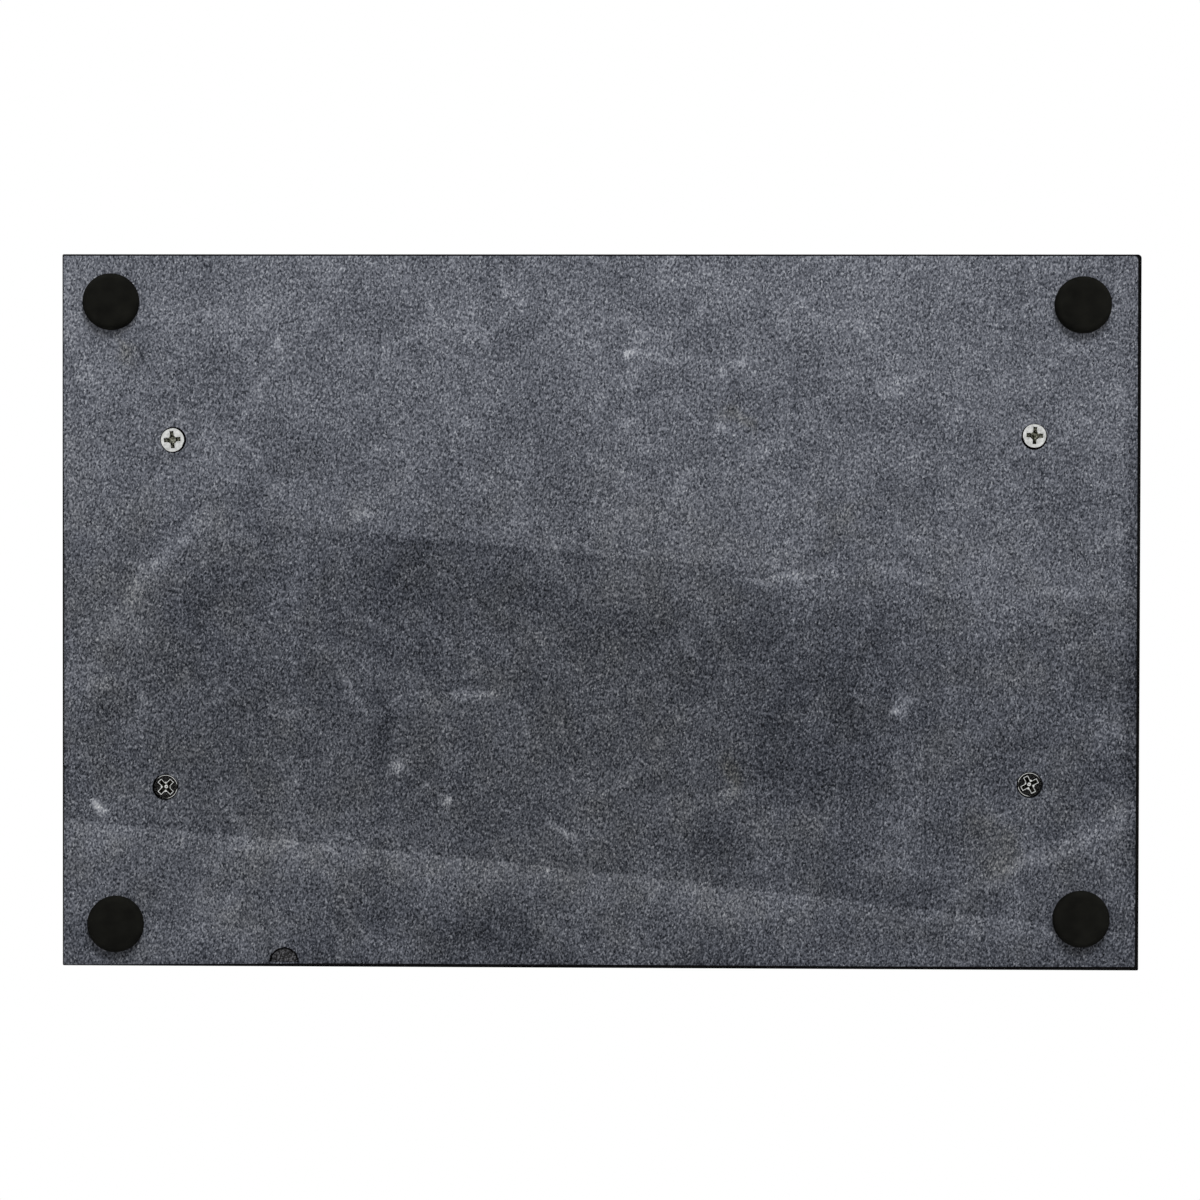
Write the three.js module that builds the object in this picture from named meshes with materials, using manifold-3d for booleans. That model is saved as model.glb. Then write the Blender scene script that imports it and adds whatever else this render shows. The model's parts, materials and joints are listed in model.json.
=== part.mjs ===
// A marble serving tray: a stone slab on four stick-on feet, with a bar handle screwed to each short end.
// Millimetres, +Z up. The feet stand on z = 0, +X runs along the slab, and the front is at -Y.
import * as THREE from 'three';
import { mergeVertices } from 'three/addons/utils/BufferGeometryUtils.js';
import Module from 'manifold-3d';

const wasm = await Module();
wasm.setup();

// Slab of stone
const SLAB_LENGTH = 380;
const SLAB_WIDTH = 251.7;
const SLAB_THICKNESS = 12;
const SLAB_CORNER_RADIUS = 1.2;
const ARRIS = 0.6;

// Stick-on feet
const FOOT_DIAMETER = 20;
const FOOT_HEIGHT = 3;
const FOOT_EDGE_RADIUS = 0.6;
const ADHESIVE_DIAMETER = 19;
const ADHESIVE_THICKNESS = 0.5;
const FOOT_INSET_X = 19.4;
const FOOT_INSET_Y = 17;

// Countersunk M4 screws, each through the slab into a handle post
const SCREW_DIAMETER = 4;
const SCREW_TIP_CHAMFER = 0.6;
const HEAD_DIAMETER = 8.4;
const HEAD_RIM = 0.4;
const HEAD_RECESS = 0.3;
const THREAD_ENGAGEMENT = 7.5;
const CROSS_SPAN = 5.6;
const CROSS_WING_WIDTH = 1.4;
const CROSS_FLOOR_SPAN = 2.2;
const CROSS_DEPTH = 2;

// Bar handles
const HANDLE_INSET = 37.8;
const POST_PITCH = 122.7;
const GRIP_HEIGHT = 25;
const BAR_DIAMETER = 10;
const BAR_OVERHANG = 13.5;
const BAR_DOME = 3;
const BAR_ROOF = 2.5;
const POST_BASE_DIAMETER = 16;
const POST_BASE_HEIGHT = 2.2;
const POST_COVE_HEIGHT = 6;
const POST_STEM_DIAMETER = 8;
const SPIGOT_DIAMETER = 4.6;
const WASHER_DIAMETER = 14.4;
const WASHER_THICKNESS = 0.8;

// Clearances between pieces
const SHANK_CLEARANCE = 0.3;
const HEAD_CLEARANCE = 0.35;
const TIP_CLEARANCE = 1.5;
const SADDLE_CLEARANCE = 0.3;
const SPIGOT_CLEARANCE = 0.3;

// Fineness of round pieces, and how far a cutting shape runs past the piece that it cuts
const ROUND_STEPS = 32;
const SMALL_STEPS = 24;
const ARC_STEPS = 5;
const CUT_MARGIN = 1;

// The feet and handles were set by hand, so each is a little off its square place.
// A drift is in millimetres along X and Y. A turn is in degrees, anticlockwise from above.
const FEET = [
  { name: 'front_left', side: [-1, -1], drift: [-1.9, -0.1] },
  { name: 'front_right', side: [1, -1], drift: [-1.2, 0.8] },
  { name: 'back_left', side: [-1, 1], drift: [-0.3, 2] },
  { name: 'back_right', side: [1, 1], drift: [-1, -1.2] },
];
const HANDLES = [
  { name: 'left', side: -1, drift: 1, turn: 1.07, screwTurns: { front: -5, back: 45 } },
  { name: 'right', side: 1, drift: -0.9, turn: 0.61, screwTurns: { front: 3, back: -27 } },
];
const ENDS = { front: -1, back: 1 };

// Heights that follow from the sizes above
const UNDERSIDE = FOOT_HEIGHT + ADHESIVE_THICKNESS;
const SLAB_TOP = UNDERSIDE + SLAB_THICKNESS;
const POST_FOOT = SLAB_TOP + WASHER_THICKNESS;
const BAR_UNDERSIDE = SLAB_TOP + GRIP_HEIGHT;
const BAR_AXIS = BAR_UNDERSIDE + BAR_DIAMETER / 2;
const SPIGOT_TOP = BAR_UNDERSIDE + BAR_DIAMETER - BAR_ROOF - SPIGOT_CLEARANCE;

const SHANK_HOLE_RADIUS = SCREW_DIAMETER / 2 + SHANK_CLEARANCE;

// A closed geometry as a solid that can be joined and cut
function solid(geometry) {
  const bare = geometry.clone();
  bare.deleteAttribute('normal');
  bare.deleteAttribute('uv');
  const merged = mergeVertices(bare);
  const corners = merged.index.array;
  const kept = [];
  for (let i = 0; i < corners.length; i += 3) {
    const [a, b, c] = corners.slice(i, i + 3);
    const flat = a === b || b === c || c === a;
    if (!flat) {
      kept.push(a, b, c);
    }
  }
  const vertProperties = new Float32Array(merged.attributes.position.array);
  const triVerts = new Uint32Array(kept);
  return new wasm.Manifold(new wasm.Mesh({ numProp: 3, vertProperties, triVerts }));
}

// A cut solid as a geometry again
function shapeOf(manifold) {
  const { vertProperties, triVerts } = manifold.getMesh();
  const geometry = new THREE.BufferGeometry();
  geometry.setAttribute('position', new THREE.BufferAttribute(new Float32Array(vertProperties), 3));
  geometry.setIndex(new THREE.BufferAttribute(new Uint32Array(triVerts), 1));
  geometry.computeVertexNormals();
  return geometry;
}

// A piece turned on a lathe about the Z axis, from points of radius and height
function turned(profile, steps) {
  const points = profile.map(([radius, height]) => new THREE.Vector2(radius, height));
  return new THREE.LatheGeometry(points, steps).rotateX(Math.PI / 2);
}

// Points along a quarter of an ellipse, which leaves the first point level and reaches the last upright
function quarter(from, to) {
  const points = [];
  for (let step = 0; step <= ARC_STEPS; step += 1) {
    const angle = (step / ARC_STEPS) * (Math.PI / 2);
    const radius = from[0] + (to[0] - from[0]) * Math.sin(angle);
    const height = from[1] + (to[1] - from[1]) * (1 - Math.cos(angle));
    points.push([radius, height]);
  }
  return points;
}

function cylinder(radius, low, high, steps) {
  return turned([[0, low], [radius, low], [radius, high], [0, high]], steps);
}

const tray = new THREE.Group();

function addPiece(name, geometry, finish, place) {
  const mesh = new THREE.Mesh(geometry, new THREE.MeshStandardMaterial(finish));
  mesh.name = name;
  mesh.position.set(...place);
  tray.add(mesh);
}

const HONED_STONE = { color: 0x54565d, roughness: 0.6, metalness: 0 };
const BLACK_RUBBER = { color: 0x161614, roughness: 0.9, metalness: 0 };
const ADHESIVE_FOAM = { color: 0x1c1c1c, roughness: 0.95, metalness: 0 };
const NICKEL_PLATE = { color: 0xc9c9c4, roughness: 0.3, metalness: 1 };
const SATIN_BRASS = { color: 0xc9a45a, roughness: 0.35, metalness: 1 };
const NYLON = { color: 0xd8d4c8, roughness: 0.6, metalness: 0 };

// Where each handle's two posts stand, with the handle's turn taken in
function postPlaces(handle) {
  const turn = THREE.MathUtils.degToRad(handle.turn);
  const middle = handle.side * (SLAB_LENGTH / 2 - HANDLE_INSET);
  return Object.entries(ENDS).map(([end, sign]) => ({
    name: `${handle.name}_${end}`,
    x: middle - sign * Math.sin(turn) * (POST_PITCH / 2),
    y: handle.drift + sign * Math.cos(turn) * (POST_PITCH / 2),
    screwTurn: THREE.MathUtils.degToRad(handle.screwTurns[end]),
    turn,
  }));
}

// Slab: a rectangle with eased corners, a small bevel round both faces and four countersunk holes
function slabOutline() {
  const x = SLAB_LENGTH / 2;
  const y = SLAB_WIDTH / 2;
  const radius = SLAB_CORNER_RADIUS;
  const outline = new THREE.Shape();
  outline.absarc(x - radius, y - radius, radius, 0, Math.PI / 2);
  outline.absarc(radius - x, y - radius, radius, Math.PI / 2, Math.PI);
  outline.absarc(radius - x, radius - y, radius, Math.PI, Math.PI * 1.5);
  outline.absarc(x - radius, radius - y, radius, Math.PI * 1.5, Math.PI * 2);
  outline.closePath();
  return outline;
}

function screwHole() {
  const mouth = HEAD_DIAMETER / 2 + HEAD_CLEARANCE;
  const seat = HEAD_RECESS + HEAD_RIM;
  const throat = seat + mouth - SHANK_HOLE_RADIUS;
  const top = SLAB_THICKNESS + CUT_MARGIN;
  const profile = [
    [0, -CUT_MARGIN],
    [mouth, -CUT_MARGIN],
    [mouth, seat],
    [SHANK_HOLE_RADIUS, throat],
    [SHANK_HOLE_RADIUS, top],
    [0, top],
  ];
  return turned(profile, SMALL_STEPS);
}

function addSlab() {
  const blank = new THREE.ExtrudeGeometry(slabOutline(), {
    depth: SLAB_THICKNESS - 2 * ARRIS,
    bevelThickness: ARRIS,
    bevelSize: ARRIS,
    bevelOffset: -ARRIS,
    bevelSegments: 1,
    curveSegments: ARC_STEPS,
  }).translate(0, 0, ARRIS);
  let slab = solid(blank);
  for (const { x, y } of HANDLES.flatMap(postPlaces)) {
    slab = slab.subtract(solid(screwHole().translate(x, y, 0)));
  }
  addPiece('marble_slab', shapeOf(slab), HONED_STONE, [0, 0, UNDERSIDE]);
}

// Feet: a rubber disc with a rounded lower edge, held by a thin adhesive disc
function footShape() {
  const radius = FOOT_DIAMETER / 2;
  const edge = quarter([radius - FOOT_EDGE_RADIUS, 0], [radius, FOOT_EDGE_RADIUS]);
  return turned([[0, 0], ...edge, [radius, FOOT_HEIGHT], [0, FOOT_HEIGHT]], ROUND_STEPS);
}

function addFeet() {
  for (const { name, side, drift } of FEET) {
    const x = side[0] * (SLAB_LENGTH / 2 - FOOT_INSET_X) + drift[0];
    const y = side[1] * (SLAB_WIDTH / 2 - FOOT_INSET_Y) + drift[1];
    const disc = cylinder(ADHESIVE_DIAMETER / 2, 0, ADHESIVE_THICKNESS, ROUND_STEPS);
    addPiece(`foot_${name}`, footShape(), BLACK_RUBBER, [x, y, 0]);
    addPiece(`foot_adhesive_${name}`, disc, ADHESIVE_FOAM, [x, y, FOOT_HEIGHT]);
  }
}

// Screw: head down, with a cross recess whose wings taper towards its floor
function crossWing() {
  const wing = new THREE.Shape([
    new THREE.Vector2(-CROSS_SPAN / 2, -CUT_MARGIN),
    new THREE.Vector2(CROSS_SPAN / 2, -CUT_MARGIN),
    new THREE.Vector2(CROSS_SPAN / 2, 0),
    new THREE.Vector2(CROSS_FLOOR_SPAN / 2, CROSS_DEPTH),
    new THREE.Vector2(-CROSS_FLOOR_SPAN / 2, CROSS_DEPTH),
    new THREE.Vector2(-CROSS_SPAN / 2, 0),
  ]);
  const blade = new THREE.ExtrudeGeometry(wing, { depth: CROSS_WING_WIDTH, bevelEnabled: false });
  return blade.translate(0, 0, -CROSS_WING_WIDTH / 2).rotateX(Math.PI / 2);
}

function screwShape(screwTurn) {
  const length = SLAB_THICKNESS + WASHER_THICKNESS + THREAD_ENGAGEMENT - HEAD_RECESS;
  const shank = SCREW_DIAMETER / 2;
  const head = HEAD_DIAMETER / 2;
  const profile = [
    [0, 0],
    [head, 0],
    [head, HEAD_RIM],
    [shank, HEAD_RIM + head - shank],
    [shank, length - SCREW_TIP_CHAMFER],
    [shank - SCREW_TIP_CHAMFER, length],
    [0, length],
  ];
  const wing = solid(crossWing().rotateZ(screwTurn));
  const crossedWing = solid(crossWing().rotateZ(screwTurn + Math.PI / 2));
  return shapeOf(solid(turned(profile, SMALL_STEPS)).subtract(wing).subtract(crossedWing));
}

// Washer: a thin ring that keeps the metal post off the stone
function washerShape() {
  const inner = SHANK_HOLE_RADIUS;
  const outer = WASHER_DIAMETER / 2;
  const profile = [
    [inner, 0],
    [outer, 0],
    [outer, WASHER_THICKNESS],
    [inner, WASHER_THICKNESS],
    [inner, 0],
  ];
  return turned(profile, SMALL_STEPS);
}

// Post: a turned foot and stem with a blind screw hole below, hollowed on top to carry the bar
function postShape(turn) {
  const stem = POST_STEM_DIAMETER / 2;
  const base = POST_BASE_DIAMETER / 2;
  const holeDepth = THREAD_ENGAGEMENT + TIP_CLEARANCE;
  const barAxis = BAR_AXIS - POST_FOOT;
  const cove = quarter([base, POST_BASE_HEIGHT], [stem, POST_BASE_HEIGHT + POST_COVE_HEIGHT]);
  const profile = [
    [0, holeDepth],
    [SHANK_HOLE_RADIUS, holeDepth],
    [SHANK_HOLE_RADIUS, 0],
    [base, 0],
    ...cove,
    [stem, barAxis],
    [0, barAxis],
  ];
  const saddleRadius = BAR_DIAMETER / 2 + SADDLE_CLEARANCE;
  const saddleReach = POST_BASE_DIAMETER / 2 + CUT_MARGIN;
  const saddle = cylinder(saddleRadius, -saddleReach, saddleReach, ROUND_STEPS);
  saddle.rotateX(Math.PI / 2).rotateZ(turn).translate(0, 0, barAxis);
  const spigot = cylinder(SPIGOT_DIAMETER / 2, holeDepth + CUT_MARGIN, SPIGOT_TOP - POST_FOOT, SMALL_STEPS);
  return shapeOf(solid(turned(profile, SMALL_STEPS)).subtract(solid(saddle)).add(solid(spigot)));
}

// Bar: a round rod with domed ends and a blind hole over each post for its spigot
function barShape(turn) {
  const radius = BAR_DIAMETER / 2;
  const half = POST_PITCH / 2 + BAR_OVERHANG;
  const lowEnd = quarter([0, -half], [radius, BAR_DOME - half]);
  const highEnd = lowEnd.map(([across, along]) => [across, -along]).reverse();
  let bar = solid(turned([...lowEnd, ...highEnd], ROUND_STEPS).rotateX(Math.PI / 2));
  for (const sign of Object.values(ENDS)) {
    const mouth = -radius - CUT_MARGIN;
    const roof = SPIGOT_TOP + SPIGOT_CLEARANCE - BAR_AXIS;
    const hole = cylinder(SPIGOT_DIAMETER / 2 + SPIGOT_CLEARANCE, mouth, roof, SMALL_STEPS);
    bar = bar.subtract(solid(hole.translate(0, (sign * POST_PITCH) / 2, 0)));
  }
  return shapeOf(bar).rotateZ(turn);
}

function addHandles() {
  for (const handle of HANDLES) {
    for (const { name, x, y, turn, screwTurn } of postPlaces(handle)) {
      addPiece(`handle_screw_${name}`, screwShape(screwTurn), NICKEL_PLATE, [x, y, UNDERSIDE + HEAD_RECESS]);
      addPiece(`post_washer_${name}`, washerShape(), NYLON, [x, y, SLAB_TOP]);
      addPiece(`handle_post_${name}`, postShape(turn), SATIN_BRASS, [x, y, POST_FOOT]);
    }
    const turn = THREE.MathUtils.degToRad(handle.turn);
    const middle = handle.side * (SLAB_LENGTH / 2 - HANDLE_INSET);
    addPiece(`handle_bar_${handle.name}`, barShape(turn), SATIN_BRASS, [middle, handle.drift, BAR_AXIS]);
  }
}

addSlab();
addFeet();
addHandles();

export default tray;
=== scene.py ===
# %% [markdown]
# # A marble serving tray, seen from below
#
# A slab of black marble stands on four rubber feet, and a brass bar handle is screwed to each short end.
# The photograph shows the underside: honed grey stone, four black feet and the heads of four screws.
# So the camera of this lesson lies under the tray and looks straight up at it.
#
# The measured model comes first. It gives every place and size, and it is never moved or reshaped.

# %% Load the measured model
import json
import math

import bmesh
import bpy
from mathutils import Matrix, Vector

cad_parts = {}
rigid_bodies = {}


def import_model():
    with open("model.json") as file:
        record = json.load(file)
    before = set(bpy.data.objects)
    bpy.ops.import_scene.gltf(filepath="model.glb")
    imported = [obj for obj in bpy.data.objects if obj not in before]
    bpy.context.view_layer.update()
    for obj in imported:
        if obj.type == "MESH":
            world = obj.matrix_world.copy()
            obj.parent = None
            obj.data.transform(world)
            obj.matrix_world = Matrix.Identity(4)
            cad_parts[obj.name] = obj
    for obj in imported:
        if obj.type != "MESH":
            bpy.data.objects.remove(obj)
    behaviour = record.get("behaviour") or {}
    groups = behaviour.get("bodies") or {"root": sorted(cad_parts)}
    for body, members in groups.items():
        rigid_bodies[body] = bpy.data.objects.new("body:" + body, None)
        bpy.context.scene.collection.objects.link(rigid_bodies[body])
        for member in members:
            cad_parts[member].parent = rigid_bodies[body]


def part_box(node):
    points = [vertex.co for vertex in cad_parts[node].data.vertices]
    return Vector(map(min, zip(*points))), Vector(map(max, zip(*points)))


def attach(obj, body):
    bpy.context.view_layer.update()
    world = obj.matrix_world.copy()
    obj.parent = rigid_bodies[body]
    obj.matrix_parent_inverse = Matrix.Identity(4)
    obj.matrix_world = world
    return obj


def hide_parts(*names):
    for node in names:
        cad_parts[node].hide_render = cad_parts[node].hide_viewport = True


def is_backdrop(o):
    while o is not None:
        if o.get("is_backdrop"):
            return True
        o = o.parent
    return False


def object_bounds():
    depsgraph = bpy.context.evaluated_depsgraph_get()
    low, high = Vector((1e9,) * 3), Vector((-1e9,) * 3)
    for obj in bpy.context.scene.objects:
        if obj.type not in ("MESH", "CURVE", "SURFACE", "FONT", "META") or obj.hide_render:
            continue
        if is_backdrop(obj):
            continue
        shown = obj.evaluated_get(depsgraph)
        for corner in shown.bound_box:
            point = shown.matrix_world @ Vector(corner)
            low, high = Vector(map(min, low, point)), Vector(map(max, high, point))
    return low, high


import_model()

measured_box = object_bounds()


def show_box(name, box):
    print(name, "in metres:", [tuple(round(v, 4) for v in corner) for corner in box])


show_box("measured box", measured_box)

# %% [markdown]
# ## The camera
#
# The photograph was taken square on, from about 0.9 m, with a long lens. The slab's corners in the picture
# give the camera's place and its small tilt. A camera that is turned half way round X looks straight up,
# with +X to the right and the tray's front (-Y) at the top of the picture.

# %% Place the camera under the tray
MM = 0.001
CAMERA_PLACE = Vector((15.1, -15.8, -895.6)) * MM
CAMERA_TURN = [math.radians(angle) for angle in (179.26, -0.95, -0.13)]
LENS_MM = 76.55
SENSOR_MM = 36
NEAREST_SEEN = 10 * MM

bpy.ops.object.select_all(action="DESELECT")
bpy.ops.object.camera_add(location=CAMERA_PLACE, rotation=CAMERA_TURN)
camera = bpy.context.object
camera.name = "photo_camera"
camera.data.lens = LENS_MM
camera.data.sensor_width = SENSOR_MM
camera.data.clip_start = NEAREST_SEEN
bpy.context.scene.camera = camera
print("camera stands", round(-CAMERA_PLACE.z, 3), "m below the table line")

# %% [markdown]
# ## A few hand tools
#
# Every operator acts on what is selected, so each step starts by clearing the selection. In edit mode,
# vertices, edges and faces are picked by where they lie or which way they face, as one would click them.

# %% Select
LEVEL_FACE = 0.999


def start_clean():
    """Leave edit mode and deselect everything."""
    if bpy.context.mode != "OBJECT":
        bpy.ops.object.mode_set(mode="OBJECT")
    bpy.ops.object.select_all(action="DESELECT")


def take(piece):
    """Make one piece the only one that is selected and active."""
    start_clean()
    piece.select_set(True)
    bpy.context.view_layer.objects.active = piece


def pick(piece, kind, test):
    """In edit mode, select only the VERT, EDGE or FACE parts that pass a test, and count them."""
    bpy.ops.mesh.select_mode(type=kind)
    bpy.ops.mesh.select_all(action="DESELECT")
    shape = bmesh.from_edit_mesh(piece.data)
    parts = {"VERT": shape.verts, "EDGE": shape.edges, "FACE": shape.faces}[kind]
    found = [part for part in parts if test(part)]
    for part in found:
        part.select_set(True)
    shape.select_flush_mode()
    bmesh.update_edit_mesh(piece.data)
    return len(found)


def middle(part):
    """The middle of an edge or a face."""
    return sum((corner.co for corner in part.verts), Vector()) / len(part.verts)


def faces_up(face):
    return face.normal.z > LEVEL_FACE


def faces_down(face):
    return face.normal.z < -LEVEL_FACE


# %% [markdown]
# ## The slab
#
# The slab was sawn, honed below and polished on its top and edges. Its arrises, the narrow bevels along
# the edges, were eased by hand, so they are not the same everywhere. The photograph shows them as black
# lines: wide on the right and at the bottom of the picture, and thin on the left and at the top.
#
# A cube is stretched to size, with its lower face lifted by the height of the arris. Its upright edges are
# bevelled, then the lower face is extruded down. Each of its sides is divided in four, and its points are
# moved in by their own amounts.

# %% Block out the slab
ARRIS_HEIGHT = 0.6 * MM
SLACK = 0.05 * MM
SHARP_CORNER = 0.5 * MM
WORN_CORNER = 1.3 * MM

slab_low, slab_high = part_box("marble_slab")
underside = slab_low.z
lift = Vector((0, 0, ARRIS_HEIGHT))
block_size = slab_high - slab_low - lift

start_clean()
bpy.ops.mesh.primitive_cube_add(size=1, location=(slab_low + slab_high + lift) / 2, scale=block_size)
slab = bpy.context.object
slab.name = "stone_slab"
bpy.ops.object.transform_apply(location=True, rotation=True, scale=True)
bpy.ops.object.mode_set(mode="EDIT")


def is_upright(edge):
    return abs(edge.verts[0].co.z - edge.verts[1].co.z) > block_size.z / 2


def is_worn_corner(edge):
    return is_upright(edge) and middle(edge).x > 0 and middle(edge).y < 0


def is_untouched_corner(edge):
    on_corner = abs(middle(edge).x) > slab_high.x - SLACK and abs(middle(edge).y) > slab_high.y - SLACK
    return is_upright(edge) and on_corner


pick(slab, "EDGE", is_worn_corner)
bpy.ops.mesh.bevel(offset=WORN_CORNER, segments=6, affect="EDGES")
pick(slab, "EDGE", is_untouched_corner)
bpy.ops.mesh.bevel(offset=SHARP_CORNER, segments=4, affect="EDGES")
print("rounded one worn corner and three sharp ones")

# %% Ease the arrises
TOP_ARRIS = 0.6 * MM
INWARDS = {"left": (1, 0, 0), "right": (-1, 0, 0), "front": (0, 1, 0), "back": (0, -1, 0)}
EASED_IN = {
    "left": (0.5, 0.5, 0.75, 0.75, 0.45),
    "right": (1.35, 1.25, 1.2, 1.25, 1.35),
    "front": (0.65, 0.65, 0.65, 0.65, 0.65),
    "back": (0.4, 1.25, 1.25, 1.1, 1.35),
}


def ease_side(inwards, amounts):
    """Divide one long lower edge, and move each stretch of it in by its own amount in millimetres."""
    along = 1 if inwards.x else 0
    border = slab_low if max(inwards) > 0 else slab_high
    length = slab_high[along] - slab_low[along]
    step = length / (len(amounts) - 1)

    def is_on_side(corner):
        from_border = (corner.co - border).dot(inwards)
        return corner.co.z < underside + SLACK and from_border < WORN_CORNER + SLACK

    def is_long(edge):
        return edge.calc_length() > length / 2 and all(is_on_side(corner) for corner in edge.verts)

    pick(slab, "EDGE", is_long)
    bpy.ops.mesh.subdivide(number_cuts=len(amounts) - 2)
    for station, amount in enumerate(amounts):
        here = slab_low[along] + station * step
        pick(slab, "VERT", lambda corner: is_on_side(corner) and abs(corner.co[along] - here) < step / 2)
        bpy.ops.transform.translate(value=inwards * amount * MM)


pick(slab, "FACE", faces_down)
bpy.ops.mesh.extrude_region_move(TRANSFORM_OT_translate={"value": -lift})
for side, amounts in EASED_IN.items():
    ease_side(Vector(INWARDS[side]), amounts)
pick(slab, "FACE", faces_up)
bpy.ops.mesh.region_to_loop()
bpy.ops.mesh.bevel(offset=TOP_ARRIS, segments=3, affect="EDGES")
bpy.ops.object.mode_set(mode="OBJECT")
print("slab block:", len(slab.data.polygons), "faces")

# %% [markdown]
# ## Turned pieces
#
# Drills, adhesive discs, screws, posts, bars and washers are round, so they are made as on a lathe. One
# vertex is extruded from point to point to draw half of the outline, and Spin sweeps that line round the Z
# axis. The seam and the ends on the axis are merged afterwards, and the faces are turned outwards.

# %% A lathe for round pieces
MERGE_GAP = 0.002 * MM


def turn_on_lathe(name, profile, steps=64):
    """Spin an outline, given as (radius, height) in millimetres, into a closed round piece."""
    start_clean()
    points = [Vector((radius, 0, height)) * MM for radius, height in profile]
    bpy.ops.mesh.primitive_plane_add(size=MM)
    piece = bpy.context.object
    piece.name = name
    bpy.ops.object.mode_set(mode="EDIT")
    bpy.ops.mesh.select_mode(type="VERT")
    bpy.ops.mesh.select_all(action="SELECT")
    bpy.ops.mesh.merge(type="CENTER")
    bpy.ops.transform.translate(value=points[0])
    for here, there in zip(points, points[1:]):
        bpy.ops.mesh.extrude_vertices_move(TRANSFORM_OT_translate={"value": there - here})
    bpy.ops.mesh.select_all(action="SELECT")
    bpy.ops.mesh.spin(steps=steps, angle=math.tau, center=(0, 0, 0), axis=(0, 0, 1))
    bpy.ops.mesh.select_all(action="SELECT")
    bpy.ops.mesh.remove_doubles(threshold=MERGE_GAP)
    bpy.ops.mesh.normals_make_consistent(inside=False)
    bpy.ops.object.mode_set(mode="OBJECT")
    return piece


def arc(centre, radii, start, end, steps=6):
    """Points of a round or oval arc in an outline, with angles in degrees from the outward direction."""
    points = []
    for step in range(steps + 1):
        angle = math.radians(start + (end - start) * step / steps)
        across = centre[0] + radii[0] * math.cos(angle)
        up = centre[1] + radii[1] * math.sin(angle)
        points.append((across, up))
    return points


# %% [markdown]
# ## Countersunk holes
#
# Each screw passes through a drilled hole with a cone at its mouth for the screw's head. The drill is a
# turned shape, a little wider than the screw, and the slab is cut by one at each screw. The heads don't sit
# quite in the middle of their holes, so a dark crescent shows beside them.

# %% Place and cut
def middle_of(node):
    low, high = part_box(node)
    return (low + high) / 2


def size_of(node):
    """Size of a measured node in millimetres."""
    low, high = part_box(node)
    return (high - low) / MM


def settle(piece, place, turn=0.0):
    """Turn a piece about Z, move it to its place, and keep both in its mesh."""
    take(piece)
    piece.rotation_euler.z += turn
    piece.location = Vector(place)
    bpy.ops.object.transform_apply(location=True, rotation=True, scale=True)


def cut(piece, cutter):
    """Cut one shape out of another with a Boolean modifier, and throw the cutter away."""
    take(piece)
    change = piece.modifiers.new("cut", "BOOLEAN")
    change.operation = "DIFFERENCE"
    change.solver = "EXACT"
    change.object = cutter
    bpy.ops.object.modifier_apply(modifier=change.name)
    bpy.data.objects.remove(cutter)


# %% Drill the holes
MOUTH_RADIUS = 4.6
SHANK_HOLE_RADIUS = 2.3
MOUTH_DEPTH = 0.75
DRILL_PAST = 2.0
HOLE_DRIFT = {
    "left_front": (0.4, 0.0),
    "left_back": (-0.1, 0.1),
    "right_front": (-0.2, 0.4),
    "right_back": (0.0, 0.1),
}
drill_end = (slab_high.z - underside) / MM + DRILL_PAST
DRILL_PROFILE = [
    (0, -DRILL_PAST),
    (MOUTH_RADIUS, -DRILL_PAST),
    (MOUTH_RADIUS, MOUTH_DEPTH),
    (SHANK_HOLE_RADIUS, MOUTH_DEPTH + MOUTH_RADIUS - SHANK_HOLE_RADIUS),
    (SHANK_HOLE_RADIUS, drill_end),
    (0, drill_end),
]
for post, drift in HOLE_DRIFT.items():
    place = middle_of(f"handle_screw_{post}") + Vector((*drift, 0)) * MM
    drill = turn_on_lathe("drill", DRILL_PROFILE)
    settle(drill, (place.x, place.y, underside))
    cut(slab, drill)
print("slab with holes:", len(slab.data.polygons), "faces")

# %% [markdown]
# ## A chip near the edge
#
# One flake has come off the underside, close to the bottom edge of the picture. It is a shallow half-moon
# with a steep, ragged rim. A cylinder is narrowed towards its floor, its points are shaken a little, and it
# is sliced through the middle, so that the thin black arris stays whole.

# %% Chip the underside
CHIP_X = -111.3 * MM
CHIP_RADIUS = 5.9 * MM
CHIP_DEPTH = 0.9 * MM
CHIP_FLOOR = 0.78
CHIP_RAGGED = 0.28 * MM
CHIP_FROM_EDGE = 1.7 * MM
CHIP_SEED = 4

start_clean()
bpy.ops.mesh.primitive_cylinder_add(vertices=32, radius=CHIP_RADIUS, depth=2 * CHIP_DEPTH)
flake = bpy.context.object
bpy.ops.object.mode_set(mode="EDIT")
pick(flake, "FACE", faces_up)
bpy.ops.transform.resize(value=(CHIP_FLOOR, CHIP_FLOOR, 1))
bpy.ops.mesh.inset(thickness=CHIP_DEPTH)
bpy.ops.mesh.select_all(action="SELECT")
bpy.ops.transform.vertex_random(offset=CHIP_RAGGED, seed=CHIP_SEED)
bpy.ops.mesh.bisect(plane_co=(0, 0, 0), plane_no=(0, 1, 0), clear_outer=True, use_fill=True)
bpy.ops.mesh.select_all(action="SELECT")
bpy.ops.mesh.normals_make_consistent(inside=False)
settle(flake, (CHIP_X, slab_high.y - CHIP_FROM_EDGE, underside))
cut(slab, flake)
print("slab with chip:", len(slab.data.polygons), "faces")

# %% [markdown]
# ## Rubber feet and their adhesive
#
# The feet are moulded discs of black rubber, stuck on with thin adhesive foam. A cylinder tapers a little
# towards the floor, as a moulding has to. Its lower rim gets a wide round, and a shallow dish is inset in
# its face. One foot is modelled as a pattern, and a copy of it goes to each corner.

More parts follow.
